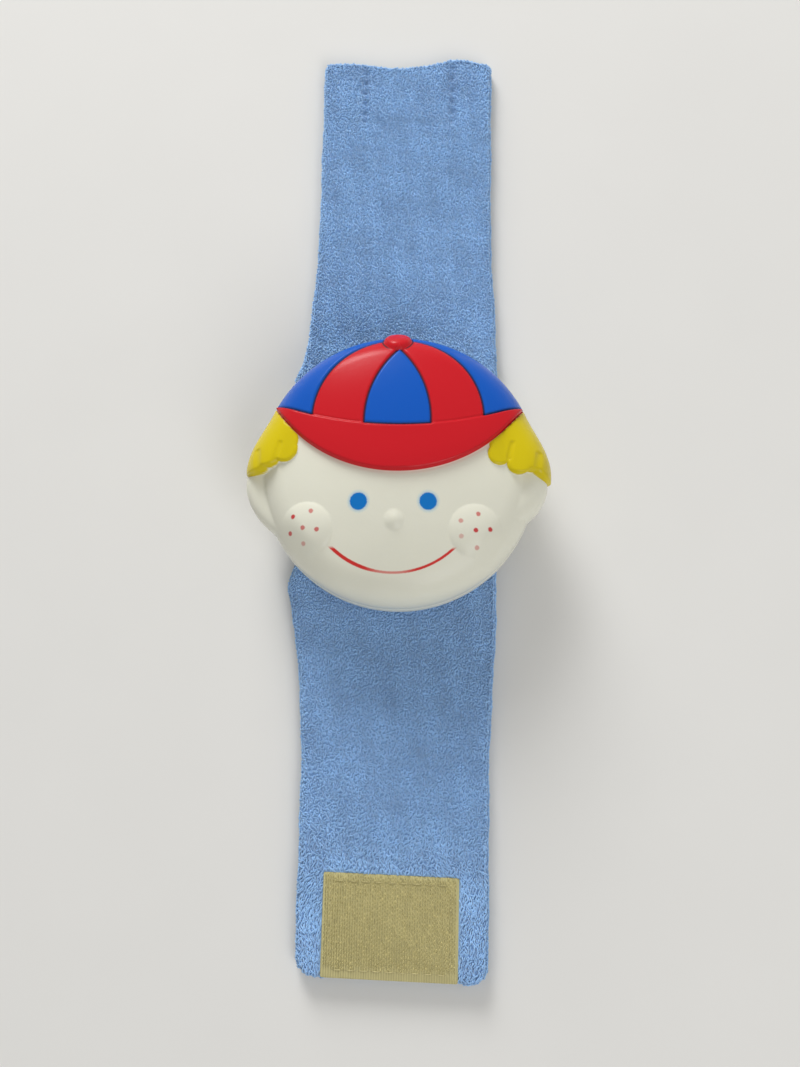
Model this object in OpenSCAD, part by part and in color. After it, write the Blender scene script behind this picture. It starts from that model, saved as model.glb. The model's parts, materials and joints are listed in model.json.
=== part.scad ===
// Baby rattle bracelet: a hollow face rattle threaded on a soft strap that wraps round the wrist.
// X runs across the strap, Y along it towards the cap, and Z up out of the face.
// The origin is on the table, under the middle of the rattle, with the strap laid flat.

/* [Rattle] */
// Diameter of both shells where they meet
rattle_d = 53.4; // [52:0.2:56]
// Height from the flat back to the top of the face
rattle_h = 17; // [16:0.5:19]
// Wall thickness of both shells
wall = 1.8; // [1.4:0.1:2.2]
// Reach of the hair and ears beyond the rim
side_reach = 2.8; // [2:0.1:3.4]
// Height of the cap panels over the face
crown_relief = 0.5; // [0.3:0.05:0.7]
// Height of the brim over the face
brim_relief = 1.1; // [0.9:0.1:1.4]
// Diameter of the loose pellets inside
pellet_d = 4.4; // [3.6:0.2:4.6]

/* [Strap] */
// Length of the strap laid flat
strap_len = 190; // [184:1:200]
// Width of the strap at both ends
end_w = 36.4; // [34:0.2:38]
// Width of the strap under the rattle
mid_w = 39; // [37:0.2:40]
// Thickness of one of the two terry plies
ply_t = 1.5; // [1.3:0.1:1.7]

/* [Fastening] */
// Width of the tape, measured along the strap
tape_w = 19; // [16:0.5:20]
// Length of the hook patch, measured across the strap
hook_len = 25.6; // [22:0.2:28]
// Depth of the loop patch, measured along the strap
loop_depth = 15; // [12:0.5:17]
// Thickness of the tape
tape_t = 0.9; // [0.7:0.1:1]

/* [Hidden] */
$fn = 48;
strap_t = 2 * ply_t;

// Stack from the table up: bridge bar, strap, flat back, seam, top of the face
bar_t = 1.8;
slot_clear = 0.25;
strap_z = bar_t + slot_clear;
back_z = strap_z + strap_t + slot_clear;
seam_z = back_z + 5;
top_z = back_z + rattle_h;
floor_z = back_z + wall;

// Face: a shallow dome that turns into the side wall over a round shoulder
rattle_r = rattle_d / 2;
face_k = rattle_d / 53.4;
dome_r = 70 * face_k;
shoulder_r = 7.5;
dome_z = top_z - dome_r;
relief_z = seam_z + 0.9;
arc_steps = 6;

// Cap: circles that bound its panels and brim
brim_low_r = 27 * face_k;
brim_low_y = 24.45 * face_k;
brim_up_r = 55 * face_k;
brim_up_y = 61.6 * face_k;
seam_circle_r = 17 * face_k;
seam_circle_x = 0.7 * face_k;
seam_circle_y = 8.3 * face_k;
arch_r = 21.9 * face_k;
arch_x = 15.6 * face_k;
arch_y = 7.5 * face_k;
groove_w = 0.4;
knob_r = 3.1;
knob_rise = 1.5;
knob_angle = 27;

// Hair: each lobe is [x, y, radius] on the right, mirrored on the left
hair_lobes = [[24, 7.4, 5.6], [19.4, 2.8, 2.9], [23, 1.8, 3.5], [27, 1.4, 3.7], [28, 6.5, 4.6]];
hair_relief = 0.7;
ear_x = 25.4 * face_k;
ear_y = -4.6 * face_k;
ear_r = 4.7;
ear_drop = 2.5;

// Features of the face
eye_x = 6.5 * face_k;
eye_y = -8.15 * face_k;
eye_r = 1.63;
nose_y = -11.4 * face_k;
nose_r = 1.5;
nose_rise = 0.9;
cheek_x = 15.9 * face_k;
cheek_y = -13.2 * face_k;
cheek_r = 4.2;
cheek_rise = 1;
mouth_r = 16.4 * face_k;
mouth_y = -4.8 * face_k;
mouth_corner_y = -16.3 * face_k;
mouth_w = 0.6;
mouth_depth = 0.3;
paint_t = 0.15;

// Back shell: rounded edge, tongue that locates the face shell, and stud bosses
back_edge_r = 2.7;
tongue_r = rattle_r - wall - 0.05;
tongue_t = 0.95;
tongue_h = 2;
stud_r = 0.9;
stud_h = 2.6;
stud_y = 3.5;
boss_r = 2.8;
boss_top_z = back_z + stud_h + 1.2;

// Bridge that holds the strap against the back
bar_l = 12;
leg_t = 2.6;
slot_half = mid_w / 2 + 0.4;
stud_x = slot_half + leg_t / 2;
bar_corner_r = 1.5;

// Pellets roll in lanes along Y
pellet_r = pellet_d / 2;
pellet_clear = 0.15;
lane_pitch = 5;
pellet_y = [6, -9, 2, -13, 9, -4, 7];
pellet_count = len(pellet_y);

// Strap: a flat middle and two tails, each bent at hinge lines a segment apart
flat_half = 16;
upper_seg = 14.5;
lower_seg = 13.2;
seg_count = 5;
seg_gap = 0.3;
taper_from = 24;
taper_to = 58;
outline_steps = 4;
upper_corner_r = 1.5;
lower_corner_r = 3;

// Fastening patches, set into the cloth, and their stitches, drawn in flush with them
hook_proud = 0.2;
loop_len = 19;
loop_inset = 0.8;
thread = 0.45;
thread_t = 0.25;
stitch_pitch = 2.4;
stitch_len = 1.8;
stitch_margin = 1.5;

face_ivory = [0.87, 0.87, 0.80];
cap_red = [0.76, 0.10, 0.14];
cap_blue = [0.03, 0.35, 0.75];
hair_yellow = [0.86, 0.80, 0.09];
eye_blue = [0.04, 0.45, 0.75];
terry_blue = [0.46, 0.60, 0.78];
tape_beige = [0.63, 0.60, 0.43];
thread_tan = [0.70, 0.67, 0.50];

// Points of an arc in the XZ half plane or in XY
function arc(x, y, r, from, to, steps) =
    [for (i = [0:steps]) let (a = from + (to - from) * i / steps) [x + r * cos(a), y + r * sin(a)]];

// Outline of a rectangle with round corners
function round_rect(w, l, r) = [for (q = [0:3]) let (sx = (q == 0 || q == 3) ? 1 : -1, sy = q < 2 ? 1 : -1)
    each arc(sx * (w / 2 - r), sy * (l / 2 - r), r, 90 * q, 90 * q + 90, 4)];

// Profile of the domed face, lifted off its top and pushed out at its side
function dome_path(lift, reach) =
    let (
        round_r = shoulder_r + min(lift, reach),
        x = rattle_r + reach - round_r,
        sphere_r = dome_r + lift,
        z = dome_z + sqrt(pow(sphere_r - round_r, 2) - x * x),
        turn = atan2(z - dome_z, x)
    )
    concat(arc(x, z, round_r, 0, turn, arc_steps), arc(0, dome_z, sphere_r, turn, 90, arc_steps));

module dome(lift, reach, z0)
    rotate_extrude()
        polygon(concat([[0, z0], [rattle_r + reach, z0]], dome_path(lift, reach)));

// A flat outline turned into relief that follows the dome
module relief(lift, reach)
    intersection() {
        translate([0, 0, relief_z]) linear_extrude(top_z) children();
        dome(lift, reach, seam_z);
    }

module both_sides()
    for (s = [0, 1]) mirror([s, 0, 0]) children();

// Area above the brim's upper edge
module above_brim() translate([0, brim_up_y]) circle(brim_up_r, $fn = 96);

module brim_edge() translate([0, brim_low_y]) circle(brim_low_r, $fn = 96);

// Area between the two outer seams of the cap
module between_seams(grow)
    intersection_for(s = [-1, 1])
        translate([s * seam_circle_x, seam_circle_y]) circle(seam_circle_r + grow);

// Pointed arch of the centre panel
module arch(grow)
    intersection_for(s = [-1, 1])
        translate([s * arch_x, arch_y]) circle(arch_r + grow);

module crown_panels() {
    color(cap_blue) relief(crown_relief, crown_relief) intersection() {
        above_brim();
        arch(-groove_w / 2);
    }
    color(cap_red) relief(crown_relief, crown_relief) difference() {
        intersection() {
            above_brim();
            circle(rattle_r + 1);
            between_seams(-groove_w / 2);
        }
        arch(groove_w / 2);
    }
    color(cap_blue) relief(crown_relief, crown_relief) difference() {
        intersection() {
            above_brim();
            circle(rattle_r + 1);
        }
        between_seams(groove_w / 2);
    }
}

module brim()
    relief(brim_relief, brim_relief) difference() {
        brim_edge();
        above_brim();
    }

module knob() {
    reach = shoulder_r + knob_rise - knob_r;
    shoulder_x = rattle_r - shoulder_r;
    shoulder_z = dome_z + sqrt(pow(dome_r - shoulder_r, 2) - shoulder_x * shoulder_x);
    translate([0, shoulder_x + reach * cos(knob_angle), shoulder_z + reach * sin(knob_angle)])
        sphere(knob_r);
}

module hair()
    both_sides() relief(hair_relief, side_reach) difference() {
        for (lobe = hair_lobes) translate([lobe.x, lobe.y] * face_k) circle(lobe.z);
        brim_edge();
    }

module ears()
    both_sides() relief(-ear_drop, side_reach) difference() {
        translate([ear_x, ear_y]) circle(ear_r);
        circle(rattle_r - 0.5);
    }

// Low round swelling, sunk so that only its top stands out of the dome
module bump(x, y, r, rise) {
    ball_r = (r * r + rise * rise) / (2 * rise);
    k = (dome_r + rise - ball_r) / dome_r;
    surface_z = sqrt(dome_r * dome_r - x * x - y * y);
    intersection() {
        translate([x * k, y * k, dome_z + surface_z * k]) sphere(ball_r);
        translate([x, y, relief_z]) cylinder(r = r, h = top_z);
    }
}

module eyes()
    relief(paint_t, paint_t)
        for (s = [-1, 1]) translate([s * eye_x, eye_y]) circle(eye_r);

module mouth_groove()
    difference() {
        translate([0, 0, relief_z]) linear_extrude(top_z) intersection() {
            translate([0, mouth_y]) difference() {
                circle(mouth_r + mouth_w / 2);
                circle(mouth_r - mouth_w / 2);
            }
            translate([-rattle_r, mouth_corner_y - rattle_d]) square(rattle_d);
        }
        dome(-mouth_depth, -mouth_depth, seam_z);
    }

module face_shell()
    difference() {
        union() {
            color(face_ivory) {
                dome(0, 0, seam_z);
                ears();
                both_sides() bump(cheek_x, cheek_y, cheek_r, cheek_rise);
                bump(0, nose_y, nose_r, nose_rise);
            }
            crown_panels();
            color(cap_red) {
                brim();
                knob();
            }
            color(hair_yellow) hair();
            color(eye_blue) eyes();
        }
        color(face_ivory) dome(-wall, -wall, seam_z - 1);
        color(cap_red) mouth_groove();
    }

module back_shell()
    color(face_ivory) difference() {
        union() {
            rotate_extrude() polygon(concat(
                [[0, back_z]],
                arc(rattle_r - back_edge_r, back_z + back_edge_r, back_edge_r, -90, 0, arc_steps),
                [[rattle_r, seam_z], [tongue_r, seam_z], [tongue_r, seam_z + tongue_h],
                 [tongue_r - tongue_t, seam_z + tongue_h], [tongue_r - tongue_t, floor_z], [0, floor_z]]
            ));
            for (sx = [-1, 1], sy = [-1, 1]) translate([sx * stud_x, sy * stud_y, floor_z - 0.5])
                cylinder(r = boss_r, h = boss_top_z - floor_z + 0.5);
        }
        for (sx = [-1, 1], sy = [-1, 1]) translate([sx * stud_x, sy * stud_y, back_z - 1])
            cylinder(r = stud_r, h = stud_h + 1);
    }

module strap_bridge()
    color(face_ivory) {
        outline = round_rect(2 * (slot_half + leg_t), bar_l, bar_corner_r);
        difference() {
            linear_extrude(back_z) polygon(outline);
            translate([-slot_half, -bar_l, bar_t]) cube([2 * slot_half, 2 * bar_l, top_z]);
        }
        for (sx = [-1, 1], sy = [-1, 1]) translate([sx * stud_x, sy * stud_y, back_z - 1])
            cylinder(r = stud_r, h = stud_h + 1);
    }

module pellet(i)
    color("white")
        translate([(i - (pellet_count + 1) / 2) * lane_pitch, pellet_y[i - 1], floor_z + pellet_r + pellet_clear])
            sphere(pellet_r);

// Half width of the strap at a distance from its middle
function half_w(y) =
    y <= taper_from ? mid_w / 2 :
    y >= taper_to ? end_w / 2 :
    end_w / 2 + (mid_w - end_w) / 4 * (1 + cos(180 * (y - taper_from) / (taper_to - taper_from)));

function seg_len(tail) = tail == "upper" ? upper_seg : lower_seg;

// Distance of a hinge line from the middle, and the end of the strap past the last one
function hinge_y(tail, i) = i <= seg_count ? flat_half + (i - 1) * seg_len(tail) : strap_len / 2 + seg_gap / 2;

// Plan of one tail segment, with round corners on the last
function tail_plan(tail, i) =
    let (
        y0 = hinge_y(tail, i) + seg_gap / 2,
        y1 = hinge_y(tail, i + 1) - seg_gap / 2,
        r = i < seg_count ? 0 : tail == "upper" ? upper_corner_r : lower_corner_r,
        side = [for (n = [0:outline_steps]) let (y = y0 + (y1 - r - y0) * n / outline_steps) [half_w(y), y]],
        corner = r > 0 ? arc(end_w / 2 - r, y1 - r, r, 15, 90, 5) : [],
        right = concat(side, corner)
    )
    concat(right, [for (n = [len(right) - 1:-1:0]) [-right[n].x, right[n].y]]);

// One ply of a tail segment: the first slopes down to the table, the others lie on it
module tail_ply(tail, i, lift) {
    y0 = hinge_y(tail, i);
    y1 = hinge_y(tail, i + 1);
    mirror([0, tail == "upper" ? 0 : 1, 0])
        if (i == 1)
            intersection() {
                linear_extrude(back_z) polygon(tail_plan(tail, i));
                rotate([90, 0, 90]) translate([0, 0, -mid_w]) linear_extrude(2 * mid_w)
                    polygon([[y0, strap_z + lift], [y1, lift], [y1, lift + ply_t], [y0, strap_z + lift + ply_t]]);
            }
        else
            translate([0, 0, lift]) linear_extrude(ply_t) polygon(tail_plan(tail, i));
}

module mid_ply(lift)
    color(terry_blue) translate([-mid_w / 2, seg_gap / 2 - flat_half, strap_z + lift])
        cube([mid_w, 2 * flat_half - seg_gap, ply_t]);

// Space that the hook patch fills, on the front of the lower end
module hook_block()
    translate([-hook_len / 2, -strap_len / 2, strap_t + hook_proud - tape_t])
        cube([hook_len, tape_w, tape_t]);

// Space that the loop patch fills, under the upper end
module loop_block(below)
    translate([-loop_len / 2, strap_len / 2 - loop_inset - loop_depth, -below])
        cube([loop_len, loop_depth, tape_t + below]);

module terry_front(tail, i)
    color(terry_blue) difference() {
        tail_ply(tail, i, ply_t);
        if (tail == "lower" && i == seg_count) hook_block();
    }

module terry_back(tail, i)
    color(terry_blue) difference() {
        tail_ply(tail, i, 0);
        if (tail == "upper" && i == seg_count) loop_block(1);
    }

module hook_patch() color(tape_beige) hook_block();

module loop_patch() color(tape_beige) loop_block(0);

// Stitches round a rectangle: a bar on top, a bar below and the two legs that join them
module stitch_row(length, z_low, z_high)
    for (n = [0:floor(length / stitch_pitch) - 1])
        translate([(n - (floor(length / stitch_pitch) - 1) / 2) * stitch_pitch, 0, 0]) difference() {
            translate([-stitch_len / 2, -thread / 2, z_low]) cube([stitch_len, thread, z_high - z_low]);
            translate([thread - stitch_len / 2, -thread, z_low + thread_t])
                cube([stitch_len - 2 * thread, 2 * thread, z_high - z_low - 2 * thread_t]);
        }

module stitch_ring(w, l, z_low, z_high)
    for (s = [-1, 1]) {
        translate([0, s * l / 2, 0]) stitch_row(w - stitch_pitch / 2, z_low, z_high);
        translate([s * w / 2, 0, 0]) rotate([0, 0, 90]) stitch_row(l - stitch_pitch / 2, z_low, z_high);
    }

module hook_stitching()
    color(thread_tan) translate([0, tape_w / 2 - strap_len / 2, 0])
        stitch_ring(hook_len - 2 * stitch_margin, tape_w - 2 * stitch_margin,
            ply_t - thread_t, strap_t + hook_proud);

module loop_stitching()
    color(thread_tan) translate([0, strap_len / 2 - loop_inset - loop_depth / 2, 0])
        stitch_ring(loop_len - 2 * stitch_margin, loop_depth - 2 * stitch_margin, 0, strap_t);

face_shell();
back_shell();
strap_bridge();
for (i = [1:pellet_count])
    pellet(i);
mid_ply(ply_t);  // terry_front_mid
mid_ply(0);  // terry_back_mid
for (tail = ["upper", "lower"], i = [1:seg_count]) {
    terry_front(tail, i);
    terry_back(tail, i);
}
hook_patch();
loop_patch();
hook_stitching();
loop_stitching();
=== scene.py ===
"""A baby's wrist rattle: a hollow plastic face threaded on a terry strap that closes with hook and loop tape.

X runs across the strap, Y along it towards the cap, and Z up out of the face. Sizes are in millimetres.
"""
import json
import math

import bmesh
import bpy
import numpy as np
from mathutils import Matrix, Vector


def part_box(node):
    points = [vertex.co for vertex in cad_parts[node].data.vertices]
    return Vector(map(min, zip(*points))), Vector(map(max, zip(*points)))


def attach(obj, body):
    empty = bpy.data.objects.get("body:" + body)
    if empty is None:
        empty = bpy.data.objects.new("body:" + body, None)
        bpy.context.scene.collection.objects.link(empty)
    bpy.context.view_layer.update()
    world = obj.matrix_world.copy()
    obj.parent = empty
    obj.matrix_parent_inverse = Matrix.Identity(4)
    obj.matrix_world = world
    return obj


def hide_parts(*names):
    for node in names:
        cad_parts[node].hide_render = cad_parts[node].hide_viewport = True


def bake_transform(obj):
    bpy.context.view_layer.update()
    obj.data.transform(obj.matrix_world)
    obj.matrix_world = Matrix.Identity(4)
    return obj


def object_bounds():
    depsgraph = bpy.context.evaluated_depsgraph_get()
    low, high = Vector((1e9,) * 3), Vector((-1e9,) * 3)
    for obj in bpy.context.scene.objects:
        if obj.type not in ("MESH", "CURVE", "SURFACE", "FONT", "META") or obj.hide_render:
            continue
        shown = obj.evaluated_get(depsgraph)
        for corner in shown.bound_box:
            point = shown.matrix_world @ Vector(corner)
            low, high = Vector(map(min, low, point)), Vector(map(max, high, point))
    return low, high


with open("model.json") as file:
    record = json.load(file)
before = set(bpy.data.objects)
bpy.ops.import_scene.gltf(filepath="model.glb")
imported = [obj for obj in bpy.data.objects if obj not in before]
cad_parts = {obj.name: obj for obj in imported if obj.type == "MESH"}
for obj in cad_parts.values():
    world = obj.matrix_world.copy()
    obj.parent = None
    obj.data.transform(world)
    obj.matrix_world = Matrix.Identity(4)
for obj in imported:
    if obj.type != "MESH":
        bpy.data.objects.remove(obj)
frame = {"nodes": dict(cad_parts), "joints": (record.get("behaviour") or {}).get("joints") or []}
cad_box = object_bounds()
MM = 0.001

# Back shell: the flat rear half of the rattle, moulded in ivory plastic with a rounded edge.
# A tongue on its rim locates the face shell, and four bosses inside take the studs of the bridge.
back_low, back_high = (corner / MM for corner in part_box("back_shell"))
rattle_r = back_high.x
back_z = back_low.z
wall = 1.8
tongue_h = 2.0
tongue_t = 0.95
tongue_gap = 0.05
tongue_r = rattle_r - wall - tongue_gap
seam_z = back_high.z - tongue_h
back_edge_r = 2.7
lip_r = 0.35
floor_z = back_z + wall
boss_r = 2.8
boss_h = 2.5
boss_root = 0.5
pin_ease = 0.3
stud_x = 21.2
stud_y = 3.5
rim_sides = 160
boss_sides = 32
ivory = (230, 229, 213)
peel_depth = 0.012


def arc(x, y, r, start, end, steps):
    """Points of an arc, with its angles in degrees."""
    turn = np.radians(np.linspace(start, end, steps + 1))
    return [(x + r * math.cos(a), y + r * math.sin(a)) for a in turn]


def turned(profile, sides, centre=(0, 0, 0)):
    """Points and faces of a profile of (radius, height) turned about Z, with both its ends on the axis."""
    around = np.linspace(0, 2 * math.pi, sides, endpoint=False)
    points = [(0, 0, profile[0][1])]
    for r, z in profile[1:-1]:
        points += [(r * math.cos(a), r * math.sin(a), z) for a in around]
    points.append((0, 0, profile[-1][1]))
    last = len(points) - 1
    faces = []
    for side in range(sides):
        after = (side + 1) % sides
        faces.append((0, 1 + after, 1 + side))
        for ring in range(len(profile) - 3):
            low, high = 1 + ring * sides, 1 + (ring + 1) * sides
            faces.append((low + side, low + after, high + after, high + side))
        top = last - sides
        faces.append((top + side, top + after, last))
    return np.array(points) + centre, faces


def at_studs(r, low, high):
    """Four short pins with eased ends, one at the place of each stud."""
    profile = [(0, low), (r, low), (r, high - pin_ease), (r - pin_ease, high), (0, high)]
    sides = ((-1, -1), (-1, 1), (1, -1), (1, 1))
    return [turned(profile, boss_sides, (x * stud_x, y * stud_y, 0)) for x, y in sides]


def together(*parts):
    """Points and faces of several parts as one."""
    points, faces, start = [], [], 0
    for part_points, part_faces in parts:
        points.append(part_points)
        faces += [tuple(start + corner for corner in face) for face in part_faces]
        start += len(part_points)
    return np.concatenate(points), faces


def piece_of(name, points, faces, material, sharp_deg=None, flat_map=None, **values):
    """Mesh piece from points in millimetres, with a flat map of its own where Blender's would be poor.
    Each extra value is kept on its points, for the material to read."""
    mesh = bpy.data.meshes.new(name)
    mesh.from_pydata(np.asarray(points) * MM, [], faces)
    for label, value in values.items():
        vector = np.ndim(value) == 2
        stored = mesh.attributes.new(label, "FLOAT_VECTOR" if vector else "FLOAT", "POINT")
        stored.data.foreach_set("vector" if vector else "value", np.asarray(value, np.float32).ravel())
    if flat_map is not None:
        mesh.uv_layers.new(name="OFBake").uv.foreach_set("vector", np.asarray(flat_map, np.float32).ravel())
    mesh.shade_smooth()
    if sharp_deg:
        mesh.set_sharp_from_angle(angle=math.radians(sharp_deg))
    mesh.materials.append(material)
    piece = bpy.data.objects.new(name, mesh)
    bpy.context.scene.collection.objects.link(piece)
    return piece


def fixed(piece, body, slot, *nodes):
    """Fixes a rigid piece to a body, in the place of the solids that it stands for."""
    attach(piece, body)
    if nodes:
        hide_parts(*nodes)


class Shade:
    """A socket of a material that takes part in Python expressions, each of which adds its Math node."""

    def __init__(self, tree, socket=None):
        self.tree = tree
        self.socket = socket

    def add(self, kind, settings, inputs, output=0):
        """Adds a node with its settings and its inputs, by name or number, and returns one of its outputs."""
        node = self.tree.nodes.new(kind)
        for name, value in settings.items():
            setattr(node, name, value)
        for name, value in inputs.items():
            if isinstance(value, Shade):
                self.tree.links.new(value.socket, node.inputs[name])
            else:
                node.inputs[name].default_value = value
        return Shade(self.tree, node.outputs[output] if node.outputs else None)

    def math(self, operation, *values):
        return self.add("ShaderNodeMath", {"operation": operation}, dict(enumerate(values)))

    def __add__(self, other):
        return self.math("ADD", self, other)

    def __sub__(self, other):
        return self.math("SUBTRACT", self, other)

    def __rsub__(self, other):
        return self.math("SUBTRACT", other, self)

    def __mul__(self, other):
        return self.math("MULTIPLY", self, other)

    def __abs__(self):
        return self.math("ABSOLUTE", self)

    __radd__ = __add__
    __rmul__ = __mul__


def blank(look):
    """A material or world with no nodes yet, and where its nodes start."""
    look.use_nodes = True
    look.node_tree.nodes.clear()
    return look, Shade(look.node_tree)


def new_material(name):
    return blank(bpy.data.materials.new(name))


def colour(red, green, blue):
    """A colour written as on screen, from 0 to 255, as Blender's linear one."""
    parts = (red / 255, green / 255, blue / 255)
    linear = [c / 12.92 if c < 0.04045 else ((c + 0.055) / 1.055) ** 2.4 for c in parts]
    return (*linear, 1.0)


def tinted(tint, factor=1.0):
    """A tint as Blender's colour, made paler or deeper by a factor."""
    return colour(*(min(255, factor * part) for part in tint))


def mixed(factor, first, second):
    """Two colours mixed by a factor that changes over the surface."""
    return factor.add("ShaderNodeMix", {"data_type": "RGBA"}, {0: factor, 6: first, 7: second}, 2)


def noise(start, where, scale, detail=2.0):
    """A cloudy pattern from 0 to 1."""
    return start.add("ShaderNodeTexNoise", {}, {"Vector": where, "Scale": scale, "Detail": detail})


def bumped(start, height, distance):
    """A normal bent by a height from 0 to 1, where 1 is a distance in millimetres."""
    return start.add("ShaderNodeBump", {}, {"Height": height, "Distance": distance * MM}, "Normal")


def finished(material, start, inputs):
    """Ends a material with a principled surface."""
    surface = start.add("ShaderNodeBsdfPrincipled", {}, inputs, "BSDF")
    start.add("ShaderNodeOutputMaterial", {}, {"Surface": surface})
    return material


def moulded_plastic(name, tint, roughness):
    """Moulded plastic: a faint cloudiness in the colour, and the fine orange peel of the mould."""
    material, start = new_material(name)
    where = start.add("ShaderNodeTexCoord", {}, {}, "Object")
    cloud = noise(start, where, 90.0)
    peel = noise(start, where, 1400.0)
    surface = {
        "Base Color": mixed(cloud, tinted(tint, 0.955), tinted(tint)),
        "Roughness": roughness - 0.05 + 0.1 * cloud,
        "Normal": bumped(start, peel, peel_depth),
        "Coat Weight": 0.12,
        "Coat Roughness": 0.25,
    }
    return finished(material, start, surface)


back_profile = [(0, back_z), (rattle_r / 3, back_z), (rattle_r * 2 / 3, back_z)]
back_profile += arc(rattle_r - back_edge_r, back_z + back_edge_r, back_edge_r, -90, 0, 12)
back_profile += arc(rattle_r - lip_r, seam_z - lip_r, lip_r, 0, 90, 5)
back_profile += [(tongue_r, seam_z), (tongue_r, back_high.z), (tongue_r - tongue_t, back_high.z)]
back_profile += [(tongue_r - tongue_t, floor_z), (rattle_r / 2, floor_z), (0, floor_z)]
bosses = at_studs(boss_r, floor_z - boss_root, floor_z + boss_h)
ivory_plastic = moulded_plastic("ivory_plastic", ivory, 0.36)
back_shell = piece_of("rattle_back", *together(turned(back_profile, rim_sides), *bosses), ivory_plastic, 40)
fixed(back_shell, "rattle", "ivory_plastic", "back_shell")

# Pellets: loose moulded beads sealed between the two shells, which make the noise.
# They keep their solids and get the plain white plastic of such beads.
bead_plastic = moulded_plastic("bead_plastic", (232, 231, 226), 0.45)
for name, node in frame["nodes"].items():
    if name.startswith("pellet_"):
        node.material_slots[0].material = bead_plastic

# Face shell: the front half of the rattle, moulded in ivory with cap, hair, ears, cheeks and nose in relief.
# Cap, hair, eyes, freckles and mouth are painted on, and the grooves that part the panels of the cap are
# painted dark, partly as overlapping overspray and partly as painted shade.
# The same formulas, on arrays of points or on sockets, raise the relief and place the paint.
rattle_h = 17.0
dome_r = 70.0
shoulder_r = 7.5
dome_z = back_z + rattle_h - dome_r
shoulder_x = rattle_r - shoulder_r
shoulder_z = dome_z + math.sqrt((dome_r - shoulder_r) ** 2 - shoulder_x**2)
dome_turn = math.atan2(shoulder_x, shoulder_z - dome_z)
dome_end = dome_r * dome_turn
shoulder_end = dome_end + shoulder_r * (math.pi / 2 - dome_turn)
wall_end = shoulder_end + shoulder_z - seam_z - lip_r
face_cells = 300
map_half = 0.47
strip_low = 0.95
strip_pitch = 0.007
strip_gap = 0.001
brim_low = (0, 24.45, 27.0)
brim_up = (0, 61.6, 55.0)
seam_circles = ((0.7, 8.3, 17.0), (-0.7, 8.3, 17.0))
arch_circles = ((15.6, 7.5, 21.9), (-15.6, 7.5, 21.9))
crown_rise = 0.5
brim_rise = (0.75, 1.1)
groove_half = 0.18
groove_sides = (2.2 * groove_half, 0.4 * groove_half)
groove_paint = (groove_half + 0.12, groove_half - 0.1)
groove_depth = 0.32
knob_r = 2.8
knob_rise = 1.45
knob_turn = math.radians(43)
knob_y = shoulder_x + shoulder_r * math.cos(knob_turn)
knob_foot = (-0.4, knob_y, shoulder_z + shoulder_r * math.sin(knob_turn))
left_hair = ((-24.2, 7.0, 5.4), (-21.4, 2.5, 2.55), (-24.3, 1.3, 2.2), (-27.6, 0.55, 2.25), (-28.0, 6.5, 4.6))
left_hair += ((-21.9, 4.2, 3.1), (-24.6, 3.4, 3.2), (-25.9, 0.35, 2.05))
right_hair = ((24.0, 7.2, 5.6), (19.2, 1.7, 2.2), (22.6, 0.0, 2.0), (27.2, 0.0, 2.6), (28.0, 6.5, 4.6))
right_hair += ((20.2, 3.4, 2.9), (22.4, 3.2, 2.9), (24.6, 1.0, 2.2), (25.2, 2.8, 3.0))
hair_partings = (((-22.7, 0.2), (-22.0, 3.6)), ((-24.75, -1.2), (-25.1, 2.3)))
hair_partings += (((20.9, 0.9), (21.5, 3.9)), ((24.6, -1.4), (25.1, 2.2)))
hair_rise = 0.5
hair_edge = 0.7
hair_reach = 2.9
hair_swell = (20.0, 26.5)
hair_fall = (11.0, -1.0)
parting_depth = 0.22
parting_sides = (0.6, 0.1)
ear_y = -3.4
ear_up = 6.4
ear_down = {"left": 9.6, "right": 6.8}
ear_reach = {"left": 3.0, "right": 2.3}
ear_foot = {"left": 25.6, "right": 23.4}
ear_start = 22.0
ear_valley = 0.22
ear_dip = (0.24, 0.27)
eyes = ((-7.0, -8.2, 1.63), (6.0, -8.1, 1.63))
nose = {"r": 2.1, "rise": 0.5, "soft": 1.6}
cheek = {"r": 5.0, "rise": 0.97, "soft": 0.8}
mounds = (((-16.9, -13.0), cheek), ((14.85, -13.2), cheek), ((-0.4, -11.6), nose))
mound_fade = (25.5, 21.0)
mouth = (-0.6, -4.8, 16.4)
mouth_top = -16.3
mouth_half = 0.28
mouth_depth = 0.3
mouth_bold = (-2.8, -7.4)
mouth_faint = (-0.9, 5.2, 1.4)
freckle_r = 0.41
left_freckles = ((-19.2, -10.7, 0.95), (-15.8, -9.8, 0.7), (-17.2, -12.8, 0.75))
left_freckles += ((-14.6, -13.2, 0.8), (-19.9, -13.6, 0.85), (-17.2, -15.6, 0.5))
right_freckles = ((12.0, -11.5, 0.55), (15.2, -10.1, 0.75), (14.7, -13.1, 0.95))
right_freckles += ((17.4, -12.8, 0.95), (12.1, -14.3, 0.4), (15.0, -16.2, 0.55))
cap_red = colour(196, 20, 32)
cap_blue = colour(6, 84, 182)
groove_overspray_and_shade = colour(26, 26, 38)
hair_yellow = colour(208, 188, 10)
eye_blue = colour(6, 114, 194)
eye_halo = colour(160, 196, 214)
mouth_red = colour(206, 48, 44)
freckle_red = colour(196, 40, 46)


def root(square):
    return square.math("SQRT", square) if isinstance(square, Shade) else np.sqrt(square)


def least(first, *others):
    for other in others:
        first = first.math("MINIMUM", first, other) if isinstance(first, Shade) else np.minimum(first, other)
    return first


def most(first, *others):
    for other in others:
        first = first.math("MAXIMUM", first, other) if isinstance(first, Shade) else np.maximum(first, other)
    return first


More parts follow.
